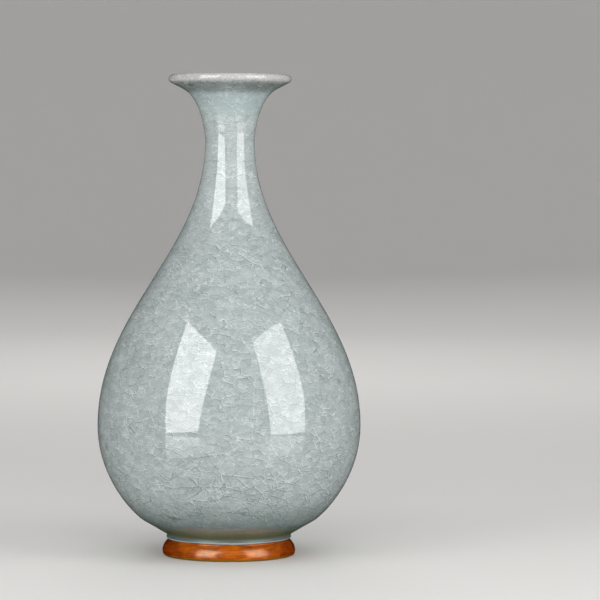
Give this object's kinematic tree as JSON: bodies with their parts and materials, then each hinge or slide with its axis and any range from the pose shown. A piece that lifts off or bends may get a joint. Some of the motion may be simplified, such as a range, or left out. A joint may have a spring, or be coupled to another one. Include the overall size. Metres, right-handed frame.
{
  "type": "porcelain vase",
  "caption": "Pear-shaped porcelain vase with a slender neck, flared mouth, crackled celadon glaze and a brown-dressed foot ring.",
  "frame": {"origin": "centre of the ring-shaped face that the vase stands on", "axes": "+Z along the vase's axis, up from the foot to the mouth; the vase is round, so +X and +Y are any two directions square to it, and the front is -Y"},
  "size_m": [0.1644, 0.1644, 0.3],
  "materials": {
    "celadon_glaze": "glossy pale grey-green celadon with a dense ice crackle",
    "iron_dressing": "satin orange-brown iron slip, brushed on round the foot",
    "fired_clay": "matt bare stoneware paste",
    "luting_slip": "matt fired slip"
  },
  "bodies": {
    "root": {"foot_ring": "fired_clay", "foot_luting_slip": "luting_slip", "lower_belly_section": "fired_clay", "belly_luting_slip": "luting_slip", "shoulder_section": "fired_clay", "neck_luting_slip": "luting_slip", "neck_and_mouth_section": "fired_clay", "outer_crackle_glaze": "celadon_glaze", "inner_glaze": "celadon_glaze", "base_glaze": "celadon_glaze", "foot_dressing": "iron_dressing"}
  },
  "joints": []
}
